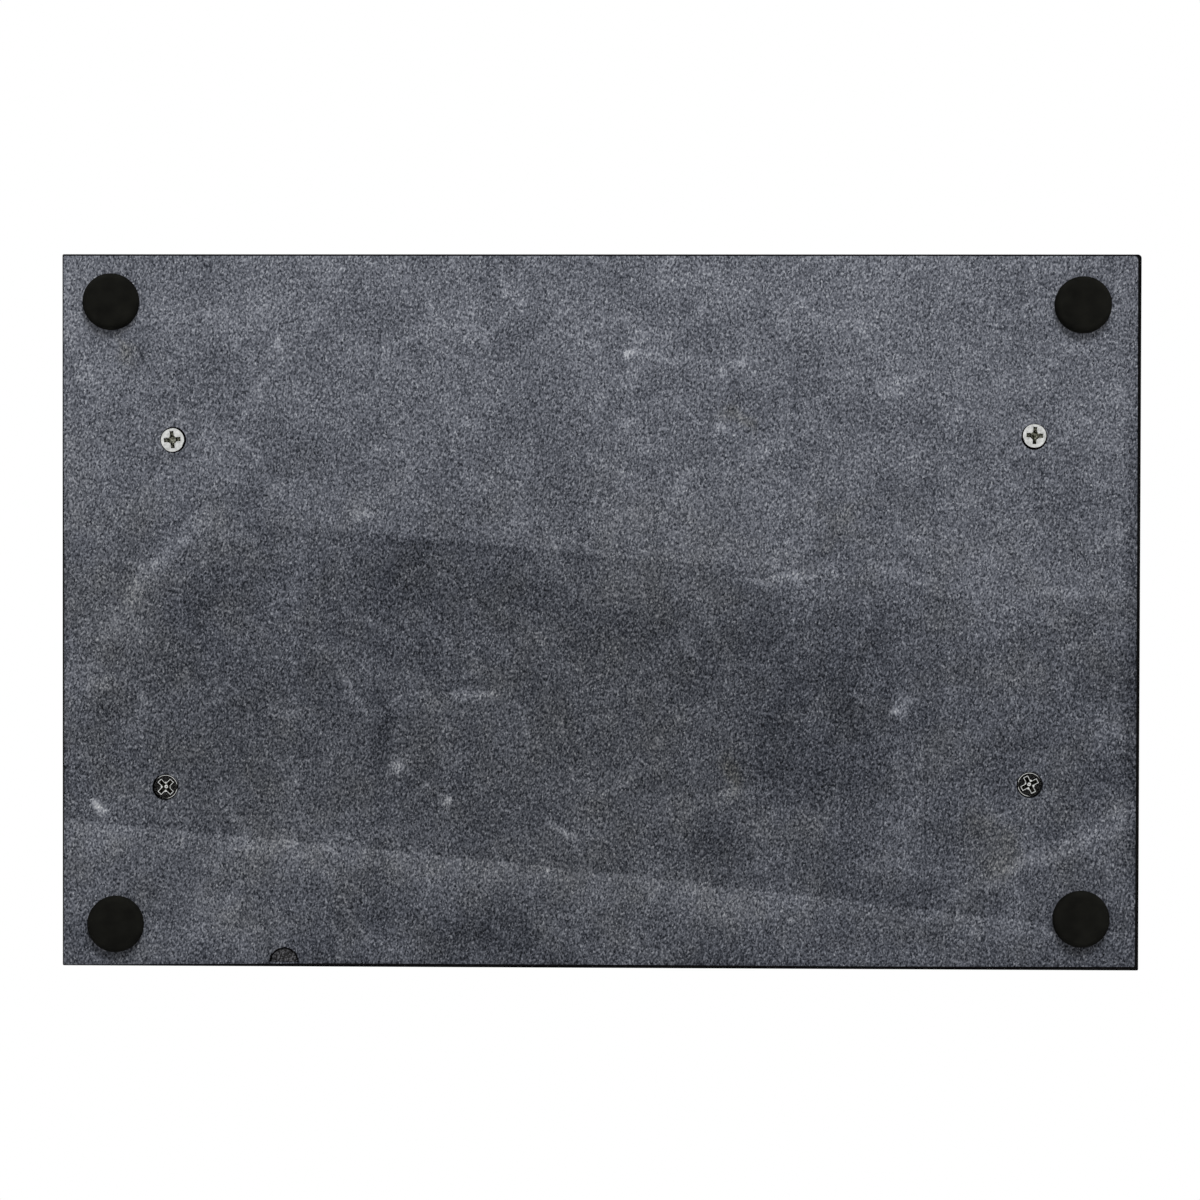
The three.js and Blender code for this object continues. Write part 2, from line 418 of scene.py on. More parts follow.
# %% Smooth and copy
def smooth(piece, degrees):
    """Round the look of soft edges and keep sharp ones sharp."""
    take(piece)
    bpy.ops.object.shade_smooth_by_angle(angle=math.radians(degrees))


def set_out(pattern, keys, node_name, turns=None):
    """Stand a copy of a pattern, with a mesh of its own, at each node, and throw the pattern away."""
    pieces = {}
    for key in keys:
        node = f"{node_name}_{key}"
        piece = pattern.copy()
        piece.data = pattern.data.copy()
        piece.name = f"{pattern.name}_{key}"
        bpy.context.collection.objects.link(piece)
        place = middle_of(node)
        settle(piece, (place.x, place.y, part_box(node)[0].z), turns[key] if turns else 0.0)
        pieces[node] = piece
    print(f"{pattern.name}: {len(pieces)} copies")
    bpy.data.objects.remove(pattern)
    return pieces


# %% Mould the feet
CORNERS = ("front_left", "front_right", "back_left", "back_right")
FOOT_TAPER = 0.985
FOOT_ROUND = 2.0 * MM
DISH_RIM = 1.5 * MM
DISH_DEPTH = 0.06 * MM

foot_size = size_of("foot_front_left") * MM
start_clean()
bpy.ops.mesh.primitive_cylinder_add(
    vertices=96, radius=foot_size.x / 2, depth=foot_size.z, location=(0, 0, foot_size.z / 2)
)
foot = bpy.context.object
foot.name = "rubber_foot"
bpy.ops.object.transform_apply(location=True, rotation=True, scale=True)
bpy.ops.object.mode_set(mode="EDIT")
pick(foot, "FACE", faces_down)
bpy.ops.transform.resize(value=(FOOT_TAPER, FOOT_TAPER, 1))
bpy.ops.mesh.region_to_loop()
bpy.ops.mesh.bevel(offset=FOOT_ROUND, segments=10, affect="EDGES")
pick(foot, "FACE", faces_down)
bpy.ops.mesh.inset(thickness=DISH_RIM)
bpy.ops.mesh.inset(thickness=DISH_RIM, depth=-DISH_DEPTH)
bpy.ops.object.mode_set(mode="OBJECT")
smooth(foot, degrees=50)
rubber_feet = set_out(foot, CORNERS, "foot")

# %% Cut the adhesive discs
tape_size = size_of("foot_adhesive_front_left")
tape_round = tape_size.z / 2
TAPE_PROFILE = [
    (0, 0),
    *arc((tape_size.x / 2 - tape_round, tape_round), (tape_round, tape_round), -90, 90, 5),
    (0, tape_size.z),
]
tape = turn_on_lathe("adhesive_disc", TAPE_PROFILE)
smooth(tape, degrees=50)
adhesive_discs = set_out(tape, CORNERS, "foot_adhesive")

# %% [markdown]
# ## Cross-head screws
#
# Each handle is held by two countersunk steel screws. The outline of a screw is turned: a flat head with a
# softened rim, a cone, and a thread drawn as close rings. The cross is cut by two tapered blades and a
# small turned pit in the middle, whose dished mouth slopes the four inner corners.
#
# Pressing the cross rolls the metal down a little along its mouth and along the rim. That thin lip catches
# the light, so the face is inset and lifted to leave one, and the lip on the rim is then spread until it is
# only a hair wide.

# %% Turn the screw's body
screw_size = size_of("handle_screw_left_front")
head_radius = screw_size.x / 2
screw_length = screw_size.z
HEAD_RIM = 0.4
HEAD_EDGE = 0.08
THREAD_RADIUS = 2.0
THREAD_ROOT = 1.65
THREAD_PITCH = 0.7
TIP_RADIUS = 1.2

neck = HEAD_RIM + head_radius - THREAD_RADIUS
screw_profile = [(0, 0), *arc((head_radius - HEAD_EDGE, HEAD_EDGE), (HEAD_EDGE, HEAD_EDGE), -90, 0, 3)]
screw_profile += [(head_radius, HEAD_RIM), (THREAD_RADIUS, neck)]
ring = neck + THREAD_PITCH
while ring < screw_length - THREAD_PITCH:
    screw_profile += [(THREAD_ROOT, ring), (THREAD_RADIUS, ring + THREAD_PITCH / 2)]
    ring += THREAD_PITCH
screw_profile += [
    (THREAD_ROOT, screw_length - THREAD_PITCH / 2),
    (TIP_RADIUS, screw_length),
    (0, screw_length),
]
screw = turn_on_lathe("cross_head_screw", screw_profile)
print("screw body:", len(screw.data.polygons), "faces")

# %% Cut the cross
CROSS_SPAN = 5.9 * MM
CROSS_WING = 1.35 * MM
CROSS_DEPTH = 1.1 * MM
FLOOR_SPAN = 0.36
FLOOR_WING = 0.8
ABOVE_HEAD = 0.5

for quarter_turn in (0, math.pi / 2):
    start_clean()
    bpy.ops.mesh.primitive_cube_add(size=1, scale=(CROSS_SPAN, CROSS_WING, CROSS_DEPTH))
    blade = bpy.context.object
    bpy.ops.object.transform_apply(location=True, rotation=True, scale=True)
    bpy.ops.object.mode_set(mode="EDIT")
    pick(blade, "FACE", faces_up)
    bpy.ops.transform.resize(value=(FLOOR_SPAN, FLOOR_WING, 1))
    pick(blade, "FACE", faces_down)
    bpy.ops.mesh.extrude_region_move(TRANSFORM_OT_translate={"value": (0, 0, -ABOVE_HEAD * MM)})
    settle(blade, (0, 0, CROSS_DEPTH / 2), quarter_turn)
    cut(screw, blade)
print("screw with cross:", len(screw.data.polygons), "faces")

# %% Cut the pit and raise the lip
DISH_RADIUS = 1.55
DISH_SLOPE = math.tan(math.radians(13))
PIT_RADIUS = 0.95
PIT_WALL = 1.15
BOTTOM_RADIUS = 0.65
LIP_WIDTH = 0.2 * MM
LIP_HEIGHT = 0.035 * MM
RIM_FROM = 0.9
RIM_SPREAD = 1.02

dish_depth = (DISH_RADIUS - PIT_RADIUS) * DISH_SLOPE
pit_depth = PIT_WALL + BOTTOM_RADIUS * DISH_SLOPE
PIT_PROFILE = [
    (0, -ABOVE_HEAD),
    (DISH_RADIUS + ABOVE_HEAD / DISH_SLOPE, -ABOVE_HEAD),
    (PIT_RADIUS, dish_depth),
    (BOTTOM_RADIUS, PIT_WALL),
    (0, pit_depth),
]
cut(screw, turn_on_lathe("pit", PIT_PROFILE, steps=24))


def is_head_face(face):
    return faces_down(face) and abs(middle(face).z) < LIP_HEIGHT / 2


def is_rim_of_lip(corner):
    return corner.co.z < -LIP_HEIGHT / 2 and corner.co.xy.length > RIM_FROM * head_radius * MM


take(screw)
bpy.ops.object.mode_set(mode="EDIT")
pick(screw, "FACE", is_head_face)
bpy.ops.mesh.inset(thickness=LIP_WIDTH, depth=LIP_HEIGHT)
rim_points = pick(screw, "VERT", is_rim_of_lip)
bpy.ops.transform.resize(value=(RIM_SPREAD, RIM_SPREAD, 1))
bpy.ops.object.mode_set(mode="OBJECT")
smooth(screw, degrees=8)
print("points of the lip along the rim:", rim_points)

# %% Set out the screws
SCREW_ANGLES = {"left_front": -5, "left_back": 45, "right_front": 3, "right_back": -27}
screw_turns = {post: math.radians(angle) for post, angle in SCREW_ANGLES.items()}
screws = set_out(screw, SCREW_ANGLES, "handle_screw", screw_turns)

# %% [markdown]
# ## Brass handles
#
# The handles stand on the side that the photograph doesn't show, so their form is a usual one: a round bar
# with domed ends on two turned posts. A post has a broad foot with a soft edge, a hollow curve up to its
# stem, and a saddle on top that is cut to the round of the bar.

# %% Turn the posts
POSTS = ("left_front", "left_back", "right_front", "right_back")
FOOT_PLATE = 2.2
FOOT_EDGE = 0.5
COVE_HEIGHT = 6.0
STEM_RADIUS = 4.0
SCREW_HOLE_DEPTH = 9.0
SADDLE_GAP = 0.03

bar_radius = size_of("handle_bar_left").z / 2
post_foot = size_of("handle_post_left_front").x / 2
post_reach = (middle_of("handle_bar_left").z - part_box("handle_post_left_front")[0].z) / MM
flat_foot = post_foot - FOOT_EDGE
cove = arc((flat_foot, FOOT_PLATE + COVE_HEIGHT), (flat_foot - STEM_RADIUS, COVE_HEIGHT), -90, -180, 12)
POST_PROFILE = [
    (0, SCREW_HOLE_DEPTH),
    (SHANK_HOLE_RADIUS, SCREW_HOLE_DEPTH),
    (SHANK_HOLE_RADIUS, 0),
    *arc((flat_foot, FOOT_EDGE), (FOOT_EDGE, FOOT_EDGE), -90, 0),
    *arc((flat_foot, FOOT_PLATE - FOOT_EDGE), (FOOT_EDGE, FOOT_EDGE), 0, 90),
    *cove[1:],
    (STEM_RADIUS, post_reach),
    (0, post_reach),
]


def handle_turn(side):
    """How far a handle is turned from straight across the tray."""
    along = middle_of(f"handle_post_{side}_back") - middle_of(f"handle_post_{side}_front")
    return math.atan2(-along.x, along.y)


post = turn_on_lathe("brass_post", POST_PROFILE)
start_clean()
bpy.ops.mesh.primitive_cylinder_add(
    vertices=128,
    radius=(bar_radius + SADDLE_GAP) * MM,
    depth=4 * post_foot * MM,
    location=(0, 0, post_reach * MM),
    rotation=(math.pi / 2, 0, 0),
)
cut(post, bpy.context.object)
smooth(post, degrees=40)
post_turns = {name: handle_turn(name.split("_")[0]) for name in POSTS}
posts = set_out(post, POSTS, "handle_post", post_turns)

# %% [markdown]
# The bar is turned upright and then laid down. Its ends are flat domes, as they leave a lathe, and its
# middle is left in one long stretch, because nothing changes along it.

# %% Turn the bars
BAR_DOME = 3.0
bars = {}
for side in ("left", "right"):
    bar_length = size_of(f"handle_bar_{side}").y / math.cos(handle_turn(side))
    dome = arc((0, bar_length / 2 - BAR_DOME), (bar_radius, BAR_DOME), 90, 0, 10)
    profile = [(across, -along) for across, along in dome] + dome[::-1]
    bar = turn_on_lathe(f"brass_bar_{side}", profile)
    bar.rotation_euler.x = math.pi / 2
    settle(bar, middle_of(f"handle_bar_{side}"), handle_turn(side))
    smooth(bar, degrees=40)
    bars[f"handle_bar_{side}"] = bar
    print("bar length, mm:", round(bar_length, 1))

# %% [markdown]
# ## Washers
#
# A thin nylon washer keeps each brass post off the polished stone. It is a turned ring with soft edges.

# %% Turn the washers
WASHER_EDGE = 0.2
washer_size = size_of("post_washer_left_front")
edge_radii = (WASHER_EDGE, WASHER_EDGE)
flat_washer = washer_size.x / 2 - WASHER_EDGE
WASHER_PROFILE = [
    (SHANK_HOLE_RADIUS, 0),
    *arc((flat_washer, WASHER_EDGE), edge_radii, -90, 0, 3),
    *arc((flat_washer, washer_size.z - WASHER_EDGE), edge_radii, 0, 90, 3),
    (SHANK_HOLE_RADIUS, washer_size.z),
    (SHANK_HOLE_RADIUS, 0),
]
washer = turn_on_lathe("nylon_washer", WASHER_PROFILE)
smooth(washer, degrees=40)
washers = set_out(washer, POSTS, "post_washer")

# %% [markdown]
# ## Materials: colours and nodes
#
# Colours are written as they look on a screen and turned to the linear values that the renderer works in.
# One small function adds a node, gives it its settings and colour stops, and sets or links its inputs.

# %% Colour and node helpers
def colour(hex_text):
    """Linear colour from an sRGB hex value such as 54565d."""
    parts = [int(hex_text[i : i + 2], 16) / 255 for i in (0, 2, 4)]
    linear = [p / 12.92 if p <= 0.04045 else ((p + 0.055) / 1.055) ** 2.4 for p in parts]
    return (*linear, 1.0)


def set_inputs(tree, node, inputs):
    """Set each input to a value, or link it where the value is another node's socket."""
    for socket, value in inputs.items():
        if isinstance(value, bpy.types.NodeSocket):
            tree.links.new(value, node.inputs[socket])
        else:
            node.inputs[socket].default_value = value


def add_node(tree, kind, inputs=None, stops=(), **settings):
    """Add one shader node, such as TexNoise, and return its outputs. A ramp gets colour stops."""
    node = tree.nodes.new("ShaderNode" + kind)
    for name, value in settings.items():
        setattr(node, name, value)
    for position, _ in stops[2:]:
        node.color_ramp.elements.new(position)
    for index, (position, hex_text) in enumerate(stops):
        node.color_ramp.elements[index].position = position
        node.color_ramp.elements[index].color = colour(hex_text)
    set_inputs(tree, node, inputs or {})
    return node.outputs


def new_material(name):
    """An empty node material with a surface shader, and the place on the piece to read patterns from."""
    material = bpy.data.materials.new(name)
    material.use_nodes = True
    tree = material.node_tree
    place = add_node(tree, "TexCoord")["Object"]
    return material, tree, tree.nodes["Principled BSDF"], place


# %% [markdown]
# ## The stone's figure
#
# The stone is not even. Its upper part in the picture is paler, a darker band crosses the middle at a
# slant, and under a second slanted line it is paler again. These bands are painted reflection of the room
# in the dull sheen of the honed stone. Thin veins and small pale flecks lie in it, and darker clouds. Each
# mark is a soft ellipse at its own place, and a slow noise bends most of them, so that none looks drawn.
# Only a dark seam, a few saw lines, a scratch and the painted shade along three edges stay straight. In
# some places the grey is a little warmer. The veins run through the slab, so top and underside share them.
#
# Each mark is written as x, y, length and width in millimetres, turn in degrees, and strength in picture
# levels, of which there are 255 from black to white. For a warm place, 255 would be the full warm tint.

# %% Veins and flecks
VEINS = [
    (157, 85, 120, 8.0, -27, 24),
    (-172, 8, 36, 7.0, -66, 14),
    (-162, -9, 30, 7.5, -56, 20),
    (-145, -26, 40, 8.5, -36, 24),
    (66, -13, 38, 3.8, -2, 36),
    (110, -12, 60, 9.0, 12, 16),
    (165, -6, 42, 6.0, 0, 16),
    (-110, -7, 40, 5.0, 4, 12),
    (-79, 5, 38, 4.5, 36, 18),
    (-121, -75, 56, 6.0, -62, 20),
    (34, -89, 44, 4.0, 3, 10),
    (80, -84, 56, 4.0, 4, 10),
    (16, 28, 26, 5.0, -3, 14),
    (-145, 49, 22, 4.0, -50, 12),
]
FLECKS = [
    (-70, 55, 10, 6.0, -40, 48),
    (-55, 68, 5, 5.0, 0, 54),
    (-44, 30, 22, 4.2, 5, 38),
    (-11, 77, 18, 4.6, 35, 44),
    (49, 63, 16, 4.6, -15, 30),
    (107, 33, 10, 6.5, 60, 48),
    (13, -92, 6, 4.0, -20, 56),
    (24, -89, 5, 4.0, 0, 34),
    (43, -85, 6, 5.0, 30, 34),
    (48, -88, 6, 5.0, 0, 24),
    (105, -80, 24, 5.0, -15, 26),
    (-32, -113, 18, 5.0, 55, 26),
    (9, -67, 10, 6.0, -20, 34),
    (44, -65, 8, 6.0, 25, 42),
    (58, -58, 12, 6.0, 20, 22),
    (-114, -93, 10, 6.0, -30, 30),
    (-85, -34, 10, 6.5, -50, 44),
    (-178, 69, 9, 5.5, 30, 56),
    (31, 12, 14, 4.6, 60, 28),
    (-88, 28, 20, 5.0, 55, 30),
]
print("veins:", len(VEINS), "flecks:", len(FLECKS))

# %% Clouds, straight marks and warm places
CLOUDS = [
    (140, -72, 150, 110, 0, -3),
    (66, -72, 44, 120, 0, -6),
    (150, 34, 100, 110, 0, -4),
    (172, 116, 60, 34, 0, -14),
    (-182, -80, 50, 110, 0, 7),
    (-184, 4, 56, 110, 0, 8),
    (-182, 66, 60, 90, 0, 9),
    (-178, 96, 50, 40, 0, 13),
    (-112, 38, 100, 50, 0, 5),
    (38, 72, 96, 26, 5, 7),
    (-138, 113, 62, 30, 0, 20),
    (40, 108, 46, 22, 10, 14),
    (-65, -6, 41, 31, 60, -10),
    (-135, -42, 40, 24, 0, 8),
    (-76, 43, 35, 12, 85, -24),
    (55, 28, 57, 45, 60, -6),
    (82, 60, 34, 14, 10, -10),
    (39, 84, 31, 25, 80, -15),
    (128, 106, 120, 48, 5, -13),
    (88, 96, 26, 8, 8, -12),
    (-36, 115, 51, 26, 0, -18),
    (-64, 109, 45, 28, 0, -9),
    (-143, 60, 32, 18, 0, -7),
    (149, 48, 34, 14, 90, -9),
]
DARK_PATCH = [
    (86, 38, 104, 50, 84, -8),
    (93, 36, 96, 22, 88, -8),
]
STRAIGHT_MARKS = [
    (-45, -22, 250, 6, 5.1, -9),
    (-132.5, 76, 70, 1.8, 90, -16),
    (115, 64, 84, 1.8, 90, -16),
    (115, -60, 52, 1.8, 90, -10),
    (-162, -90, 12, 2, 86, -32),
    # The last three marks are painted shade, darkening the stone along the right, left and bottom edges.
    (190, 10, 14, 230, 0, -28),
    (-191, 0, 8, 260, 0, -10),
    (0, 127, 420, 11, 0, -14),
]
WARM_PLACES = [
    (4, 44, 140, 200, 0, 58),
    (-120, 60, 160, 110, 0, 46),
    (-170, 5, 50, 70, 0, 70),
    (45, 60, 20, 13, 80, 190),
    (-165, -90, 18, 13, 60, 170),
    (47, -67, 13, 10, 0, 150),
    (86, -32, 17, 15, 0, 110),
    (140, 84, 28, 26, 0, 110),
]
print("clouds:", len(CLOUDS), "straight marks:", len(STRAIGHT_MARKS), "warm places:", len(WARM_PLACES))

# %% Draw soft marks
LEVEL = 1 / 255
IGNORED_HEIGHT = 1000
MARK_EDGE = 1.3
VEIN_WANDER = (12 * MM, 7 * MM)
CLOUD_WANDER = (16 * MM, 18 * MM)


def wandering(tree, place, wander):
    """The place on the stone, shifted this way and that by a slow noise of a given size and reach."""
    size, reach = wander
    sway = add_node(tree, "TexNoise", {"Vector": place, "Scale": 1 / size, "Detail": 3.0})["Color"]
    centred = add_node(tree, "VectorMath", {0: sway, 1: (0.5, 0.5, 0.5)}, operation="SUBTRACT")[0]
    shift = add_node(tree, "VectorMath", {0: centred, "Scale": 2 * reach}, operation="SCALE")[0]
    return add_node(tree, "VectorMath", {0: place, 1: shift}, operation="ADD")[0]


def add_marks(tree, place, marks, total):
    """Add soft elliptical marks to a running total of picture levels.

    The total rides along as the height of the place. So each mark waits for the one before it, and the
    renderer, which keeps only a small store of values for a material, never has to hold them all.
    """
    height = add_node(tree, "CombineXYZ", {"Z": total})[0]
    flat = {0: place, 1: (1, 1, 0), 2: height}
    running = add_node(tree, "VectorMath", flat, operation="MULTIPLY_ADD")[0]
    for x, y, length, width, turn, strength in marks:
        ellipse = {
            "Vector": running,
            "Location": (x * MM, y * MM, 0),
            "Rotation": (0, 0, math.radians(turn)),
            "Scale": (length / 2 * MM, width / 2 * MM, IGNORED_HEIGHT),
        }
        local = add_node(tree, "Mapping", ellipse, vector_type="TEXTURE")[0]
        away = add_node(tree, "VectorMath", {0: local}, operation="LENGTH")["Value"]
        fade = {"Value": away, "From Min": MARK_EDGE, "From Max": 0.0}
        inside = add_node(tree, "MapRange", fade, interpolation_type="SMOOTHSTEP")["Result"]
        mark = {0: inside, 1: (0, 0, strength * LEVEL), 2: running}
        running = add_node(tree, "VectorMath", mark, operation="MULTIPLY_ADD")[0]
    return add_node(tree, "SeparateXYZ", {0: running})["Z"]


# %% Knots and lines
KNOT_SIZE = 4 * MM


def vein_knots(tree, place):
    """Strength of the brighter and fainter knots in a vein, as crystals in a real vein are."""
    knots = add_node(tree, "TexNoise", {"Vector": place, "Scale": 1 / KNOT_SIZE, "Detail": 2.0})[0]
    spread = {"Value": knots, "From Min": 0.35, "From Max": 0.65, "To Min": 0.5, "To Max": 1.5}
    return add_node(tree, "MapRange", spread)[0]


def past_line(tree, place, line, soft):
    """How far the stone lies past a slanted line, as 0 to 1 over a soft width in millimetres."""
    x, y, turn = line
    slant = {"Vector": place, "Location": (x * MM, y * MM, 0), "Rotation": (0, 0, math.radians(turn))}
    local = add_node(tree, "Mapping", slant, vector_type="TEXTURE")[0]
    across = add_node(tree, "SeparateXYZ", {0: local})["Y"]
    edge = {"Value": across, "From Min": soft[0] * MM, "From Max": soft[1] * MM}
    return add_node(tree, "MapRange", edge, interpolation_type="SMOOTHSTEP")["Result"]


# %% [markdown]
# ## Honed black marble
#
# Honing stops before the polish: the crystals stay open, scatter light and turn black stone a cool grey.
# The eye sees a fine salt-and-pepper grain, of half a millimetre to a millimetre, a dull sheen and the slow
# veins. Pale and dark bands across it are painted reflection of the room in that sheen. The tone is added
# up in picture levels, and a ramp of greys with a touch of blue gives the colour.

# %% Painted reflection bands
# These levels paint the reflection of the room in the honed sheen: a pale upper part that fades slowly, a
# darker band across the middle, and a paler strip under the lower line.
PALE_REFLECTION = 100 * LEVEL
SLOW_FALL = -10 * LEVEL
SOFT_STEP = -11 * LEVEL
CRISP_STEP = -10 * LEVEL
LOWER_RISE = 6 * LEVEL
UNDER_BAND = 22 * LEVEL
PATCH_SIDE = (102, 0, -90)
UPPER_LINE = (0, -20.5, 5.1)
LEFT_VEIN_LINE = (-155, -5, -51.7)
RIGHT_FADE_LINE = (60, 0, -90)
LOWER_LINE = (0, 91.3, 5.2)
LOWER_LINE_RIGHT = (0, 92.0, 6.3)
SHARP = (-0.4, 0.4)


def add_painted_band(tree, place, edges, levels, tone):
    """Add picture levels to the tone where the masks along some slanted lines overlap.

    Each edge is a line and two distances past it. Its mask is 0 at the first of them and 1 at the second.
    """
    mask, *others = [past_line(tree, place, line, soft) for line, soft in edges]
    for other in others:
        mask = add_node(tree, "Math", {0: mask, 1: other}, operation="MULTIPLY")[0]
    return add_node(tree, "Math", {0: mask, 1: levels, 2: tone}, operation="MULTIPLY_ADD")[0]


def painted_reflection_tone(tree, place, swayed):
    """Painted reflection of the room: pale, then dark under a slanted line, then paler under a second line.
    """
    tone = add_painted_band(tree, place, [(UPPER_LINE, (-100, 10))], SLOW_FALL, PALE_REFLECTION)
    tone = add_painted_band(tree, swayed, [(UPPER_LINE, (0, 20))], SOFT_STEP, tone)
    crisp_edges = [(LEFT_VEIN_LINE, (0, 8)), (RIGHT_FADE_LINE, (70, 0)), (UPPER_LINE, (-1, 1.5))]
    tone = add_painted_band(tree, place, crisp_edges, CRISP_STEP, tone)
    tone = add_painted_band(tree, place, [(LOWER_LINE, (-40, -5))], LOWER_RISE, tone)
    band_edges = [(LOWER_LINE, SHARP), (LOWER_LINE_RIGHT, SHARP), (LOWER_LINE, (19, 0))]
    return add_painted_band(tree, place, band_edges, UNDER_BAND, tone)


def stone_figure(tree, place, swayed, drifting):
    """Tone of all that has its own place on the stone: painted reflection bands, clouds, straight marks,
    veins and flecks.
    """
    tone = painted_reflection_tone(tree, place, swayed)
    tone = add_marks(tree, drifting, CLOUDS, tone)
    patch = add_marks(tree, drifting, DARK_PATCH, 0.0)
    beside = past_line(tree, place, PATCH_SIDE, soft=(4, 0))
    tone = add_node(tree, "Math", {0: patch, 1: beside, 2: tone}, operation="MULTIPLY_ADD")[0]
    tone = add_marks(tree, place, STRAIGHT_MARKS, tone)
    veins = add_marks(tree, swayed, VEINS + FLECKS, 0.0)
    knots = vein_knots(tree, place)
    return add_node(tree, "Math", {0: veins, 1: knots, 2: tone}, operation="MULTIPLY_ADD")[0]


# %% Noise, threads and crystals
CLOUD_SIZE = 45 * MM
CLOUD_LEVELS = 42 * LEVEL
MOTTLE_SCALE = (1 / (26 * MM), 1 / (16 * MM), 1)
MOTTLE_LEVELS = 30 * LEVEL
SAW_SCALE = (1 / (4 * MM), 1 / (160 * MM), 1)
SAW_LEVELS = 14 * LEVEL
THREAD_SIZE = 34 * MM
THREAD_WIDTH = 0.02
THREAD_LEVELS = 15 * LEVEL
CRYSTAL = 0.42 * MM
SPECK_LEVELS = 140 * LEVEL
GRAIN = 0.75 * MM
GRAIN_LEVELS = 80 * LEVEL
HONED_TURN = math.radians(14)
DRAWN_OUT = 1.4
THIRDS = (1 / 3, 1 / 3, 1 / 3)


def add_noise(tree, value, levels, total):
    """Add a noise, centred on zero and scaled to picture levels, to a running total."""
    centred = add_node(tree, "Math", {0: value, 1: 0.5}, operation="SUBTRACT")[0]
    return add_node(tree, "Math", {0: centred, 1: levels, 2: total}, operation="MULTIPLY_ADD")[0]


def add_threads(tree, place, size, width, share, total):
    """Add thin winding threads, where a slow noise passes through its middle value, to a running total."""
    slow = add_node(tree, "TexNoise", {"Vector": place, "Scale": 1 / size, "Detail": 4.0})[0]
    from_middle = add_node(tree, "Math", {0: slow, 1: 0.5}, operation="SUBTRACT")[0]
    distance = add_node(tree, "Math", {0: from_middle}, operation="ABSOLUTE")[0]
    thread = {"Value": distance, "From Min": width, "From Max": 0.0}
    threads = add_node(tree, "MapRange", thread, interpolation_type="SMOOTHSTEP")["Result"]
    return add_node(tree, "Math", {0: threads, 1: share, 2: total}, operation="MULTIPLY_ADD")[0]


def slow_changes(tree, place, swayed, tone):
    """Add clouds, a mottle, saw lines and fine threads to the tone."""
    slow = {"Vector": place, "Scale": 1 / CLOUD_SIZE, "Detail": 5.0, "Roughness": 0.62}
    clouds = add_node(tree, "TexNoise", slow)[0]
    spread = add_node(tree, "Mapping", {"Vector": place, "Scale": MOTTLE_SCALE})[0]
    mottle = add_node(tree, "TexNoise", {"Vector": spread, "Scale": 1.0, "Detail": 1.0})[0]
    sawn = add_node(tree, "Mapping", {"Vector": place, "Scale": SAW_SCALE})[0]
    saw_lines = add_node(tree, "TexNoise", {"Vector": sawn, "Scale": 1.0, "Detail": 2.0})[0]
    tone = add_noise(tree, clouds, CLOUD_LEVELS, tone)
    tone = add_noise(tree, mottle, MOTTLE_LEVELS, tone)
    tone = add_noise(tree, saw_lines, SAW_LEVELS, tone)
    return add_threads(tree, swayed, THREAD_SIZE, THREAD_WIDTH, THREAD_LEVELS, tone)


def crystal_grain(tree, place, tone):
    """Add the grain and its specks, drawn out along the honing, to the tone. The grain is a bump too."""
    stroke = {"Vector": place, "Rotation": (0, 0, HONED_TURN), "Scale": (1, DRAWN_OUT, 1)}
    honed = add_node(tree, "Mapping", stroke, vector_type="TEXTURE")[0]
    even = {"Vector": honed, "Scale": 1 / GRAIN, "Detail": 0.0}
    grain = add_node(tree, "TexNoise", even, noise_dimensions="2D")[0]
    specks = add_node(tree, "TexVoronoi", {"Vector": honed, "Scale": 1 / CRYSTAL})["Color"]
    grey = add_node(tree, "VectorMath", {0: specks, 1: THIRDS}, operation="DOT_PRODUCT")["Value"]
    tone = add_noise(tree, grain, GRAIN_LEVELS, tone)
    return add_noise(tree, grey, SPECK_LEVELS, tone), grain


# %% Honed black marble for the underside
STONE_GREYS = [
    (0.0, "000206"),
    (0.1, "171a22"),
    (0.2, "30333b"),
    (0.3, "4a4d55"),
    (0.4, "63666f"),
    (0.5, "7d8089"),
    (0.65, "a3a6ae"),
    (1.0, "fcfdff"),
]
WARM_STAIN = "fffae8"
EVEN_WARMTH = 0.07
STAIN_SIZE = 14 * MM


def warmth(tree, place, drifting):
    """How much warmer the grey is: a little all over, in stains below the upper slanted line, and in a few
    places.
    """
    noise = add_node(tree, "TexNoise", {"Vector": place, "Scale": 1 / STAIN_SIZE, "Detail": 3.0})[0]
    spread = {"Value": noise, "From Min": 0.45, "From Max": 0.7, "To Max": 0.3}
    stains = add_node(tree, "MapRange", spread)[0]
    darker = past_line(tree, place, UPPER_LINE, soft=(-60, 20))
    warm = add_node(tree, "Math", {0: stains, 1: darker, 2: EVEN_WARMTH}, operation="MULTIPLY_ADD")[0]
    return add_marks(tree, drifting, WARM_PLACES, warm)


honed_stone, tree, shader, place = new_material("honed_black_marble")
swayed = wandering(tree, place, VEIN_WANDER)
drifting = wandering(tree, place, CLOUD_WANDER)
tone = stone_figure(tree, place, swayed, drifting)
tone = slow_changes(tree, place, swayed, tone)
tone, grain = crystal_grain(tree, place, tone)
greys = add_node(tree, "ValToRGB", {0: tone}, stops=STONE_GREYS)["Color"]
# A Mix node has sockets of the same names for numbers and colours, so the colour ones go by their index
tint = {0: warmth(tree, place, drifting), 6: greys, 7: colour(WARM_STAIN)}
tinted = add_node(tree, "Mix", tint, data_type="RGBA", blend_type="MULTIPLY")[2]
bump = add_node(tree, "Bump", {"Height": grain, "Strength": 0.25, "Distance": 0.1 * MM})[0]
look = {"Base Color": tinted, "Normal": bump, "Roughness": 0.6, "IOR": 1.5, "Specular IOR Level": 0.2}
set_inputs(tree, shader, look)
print("honed stone:", len(honed_stone.node_tree.nodes), "nodes")

# %% [markdown]
# ## Polished black marble
#
# Polish closes the same stone: it turns nearly black, and the surface mirrors the room. Only the veins,
# narrower and brighter, and the pale flecks stay in sight, with faint clouds and a net of hair-thin threads
# in between.

